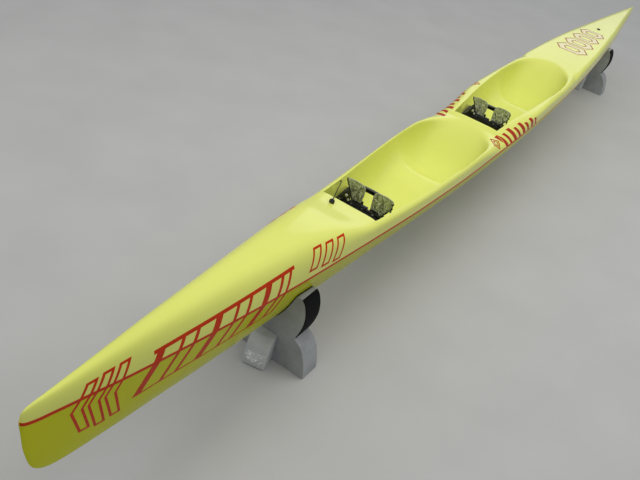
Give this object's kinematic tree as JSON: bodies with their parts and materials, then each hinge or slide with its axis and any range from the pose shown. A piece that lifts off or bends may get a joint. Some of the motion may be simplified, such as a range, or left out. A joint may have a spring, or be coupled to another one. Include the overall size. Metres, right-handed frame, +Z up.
{
  "type": "two-seat surf ski on foam cradles",
  "caption": "Long narrow sit-on-top racing kayak with open cockpits, tilting steering pedals and an under-stern rudder, standing on foam cradles.",
  "frame": {"origin": "on the floor, under the middle of the boat's length and width", "axes": "+X towards the bow, +Y to port, +Z up"},
  "size_m": [7.526, 0.504, 0.6971],
  "materials": {
    "gelcoat_hull": "high gloss yellow-green gelcoat",
    "gelcoat_deck": "high gloss yellow-green gelcoat with red pinstripe at the seam",
    "black_plastic": "moulded, slightly worn",
    "stainless": "brushed",
    "carbon_black": "gloss black foil",
    "black_metal": "black anodised, satin",
    "webbing": "woven nylon",
    "pedal_weave": "clear-coated woven carbon",
    "line_cover": "braided cover",
    "foam_block": "closed-cell foam, cut faces",
    "foam_lining": "dark foam sheet"
  },
  "bodies": {
    "boat": {"hull": "gelcoat_hull", "deck": "gelcoat_deck", "rudder_bearing": "black_plastic", "rudder_cap": "black_plastic", "front_track_port": "black_metal", "front_track_starboard": "black_metal", "front_crossbar": "black_metal", "front_foot_strap": "webbing", "front_bailer": "black_plastic", "rear_track_port": "black_metal", "rear_track_starboard": "black_metal", "rear_crossbar": "black_metal", "rear_foot_strap": "webbing", "rear_bailer": "black_plastic", "line_fairlead": "black_plastic", "line_saddle": "black_plastic", "steering_line": "line_cover", "front_cradle": "foam_block", "front_cradle_brace": "foam_block", "front_saddle_pad": "foam_lining", "front_arm_pad_port": "foam_lining", "front_arm_pad_starboard": "foam_lining", "rear_cradle": "foam_block", "rear_cradle_brace": "foam_block", "rear_saddle_pad": "foam_lining", "rear_arm_pad_port": "foam_lining", "rear_arm_pad_starboard": "foam_lining"},
    "rudder": {"rudder_blade": "carbon_black", "rudder_stock": "stainless"},
    "front_pedal_port": {"front_pedal_port": "pedal_weave"},
    "front_pedal_starboard": {"front_pedal_starboard": "pedal_weave"},
    "rear_pedal_port": {"rear_pedal_port": "pedal_weave"},
    "rear_pedal_starboard": {"rear_pedal_starboard": "pedal_weave"}
  },
  "joints": [
    {"name": "rudder_turn", "type": "hinge", "parent": "boat", "child": "rudder", "pos_m": [-2.36, 0, 0.25], "axis": [0, 0, 1], "range_deg": [-30, 30]},
    {"name": "front_pedal_port_tilt", "type": "hinge", "parent": "boat", "child": "front_pedal_port", "pos_m": [1.735, 0.05, 0.448], "axis": [0, 1, 0], "range_deg": [-15, 15]},
    {"name": "front_pedal_starboard_tilt", "type": "hinge", "parent": "boat", "child": "front_pedal_starboard", "pos_m": [1.735, -0.07, 0.448], "axis": [0, 1, 0], "range_deg": [-15, 15]},
    {"name": "rear_pedal_port_tilt", "type": "hinge", "parent": "boat", "child": "rear_pedal_port", "pos_m": [0.144, 0.05, 0.448], "axis": [0, 1, 0], "range_deg": [-15, 15]},
    {"name": "rear_pedal_starboard_tilt", "type": "hinge", "parent": "boat", "child": "rear_pedal_starboard", "pos_m": [0.144, -0.07, 0.448], "axis": [0, 1, 0], "range_deg": [-15, 15]}
  ],
  "couplings": [
    {"joint": "front_pedal_port_tilt", "follows": "rudder_turn", "ratio": -0.5},
    {"joint": "front_pedal_starboard_tilt", "follows": "rudder_turn", "ratio": 0.5},
    {"joint": "rear_pedal_port_tilt", "follows": "rudder_turn", "ratio": -0.5},
    {"joint": "rear_pedal_starboard_tilt", "follows": "rudder_turn", "ratio": 0.5}
  ]
}
